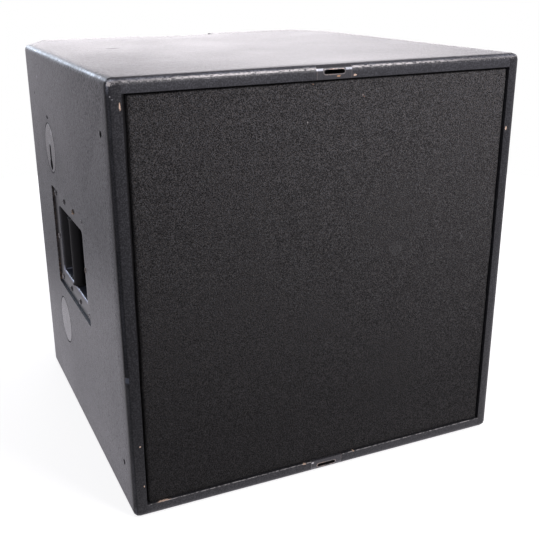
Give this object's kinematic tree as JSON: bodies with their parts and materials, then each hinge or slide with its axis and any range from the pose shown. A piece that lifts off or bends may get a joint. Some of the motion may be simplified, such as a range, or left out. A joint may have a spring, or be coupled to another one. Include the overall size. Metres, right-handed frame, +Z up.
{
  "type": "loudspeaker cabinet",
  "caption": "Square-fronted plywood bass reflex loudspeaker cabinet with foam-faced grille, recessed bar handles, keyhole flying cups and a large sprung cone driver.",
  "frame": {"origin": "centre of the box's footprint, on the floor under the bottom board", "axes": "+Z up, -Y out of the grille, +X to the right when looking at the grille; +Y runs along the box's depth, its longest side"},
  "size_m": [0.58, 0.625, 0.58],
  "materials": {
    "textured_paint": "hard textured black paint over plywood",
    "raw_board": "bare birch plywood",
    "foam": "open-cell black grille foam",
    "painted_steel": "satin black powder coat",
    "rigging_steel": "thin grey-black paint worn at the edges",
    "zinc_screw": "blackened zinc, worn bright",
    "cast_alloy": "as cast",
    "ferrite": "ground ferrite",
    "plated_steel": "zinc plated",
    "cone_paper": "pressed black paper pulp",
    "doped_cloth": "doped woven cloth",
    "coil_winding": "lacquered winding on its former",
    "gasket_foam": "closed-cell gasket",
    "moulded_nylon": "moulded black nylon",
    "cable_jacket": "smooth black jacket"
  },
  "bodies": {
    "cabinet": {"top_panel": "textured_paint", "bottom_panel": "textured_paint", "left_panel": "textured_paint", "right_panel": "textured_paint", "rear_panel": "textured_paint", "rear_left_bevel_panel": "textured_paint", "rear_right_bevel_panel": "textured_paint", "front_baffle": "textured_paint", "window_brace": "raw_board", "port_board_lower_left": "raw_board", "port_board_lower_right": "raw_board", "port_board_upper_left": "raw_board", "port_board_upper_right": "raw_board", "grille_tray": "painted_steel", "grille_foam": "foam", "grille_screw_lower_left": "zinc_screw", "grille_screw_lower_right": "zinc_screw", "grille_screw_upper_left": "zinc_screw", "grille_screw_upper_right": "zinc_screw", "handle_dish_left": "painted_steel", "handle_dish_right": "painted_steel", "handle_grip_left": "painted_steel", "handle_grip_right": "painted_steel", "keyhole_cup_left": "rigging_steel", "keyhole_cup_right": "rigging_steel", "blanking_disc_left": "rigging_steel", "blanking_disc_right": "rigging_steel", "front_catch_plate_top": "rigging_steel", "front_catch_plate_bottom": "rigging_steel", "rear_link_plate_top": "rigging_steel", "rear_link_plate_bottom": "rigging_steel", "connector_plate": "painted_steel", "speaker_socket_left": "moulded_nylon", "speaker_socket_right": "moulded_nylon", "connector_screw_1": "zinc_screw", "connector_screw_2": "zinc_screw", "connector_screw_3": "zinc_screw", "connector_screw_4": "zinc_screw", "driver_frame": "cast_alloy", "driver_gasket": "gasket_foam", "driver_bolt_1": "zinc_screw", "driver_bolt_2": "zinc_screw", "driver_bolt_3": "zinc_screw", "driver_bolt_4": "zinc_screw", "driver_bolt_5": "zinc_screw", "driver_bolt_6": "zinc_screw", "driver_bolt_7": "zinc_screw", "driver_bolt_8": "zinc_screw", "motor_top_plate": "plated_steel", "magnet_ring": "ferrite", "motor_back_plate": "plated_steel", "driver_terminals": "moulded_nylon", "speaker_lead": "cable_jacket", "surround": "doped_cloth", "spider": "doped_cloth"},
    "cone_assembly": {"cone": "cone_paper", "dust_cap": "cone_paper", "voice_coil": "coil_winding"}
  },
  "joints": [
    {"name": "cone_travel", "type": "slide", "parent": "cabinet", "child": "cone_assembly", "axis": [0, -1, 0], "range_m": [-0.01, 0.01], "stiffness_N_per_m": 8000, "deforming": ["surround", "spider"]}
  ]
}
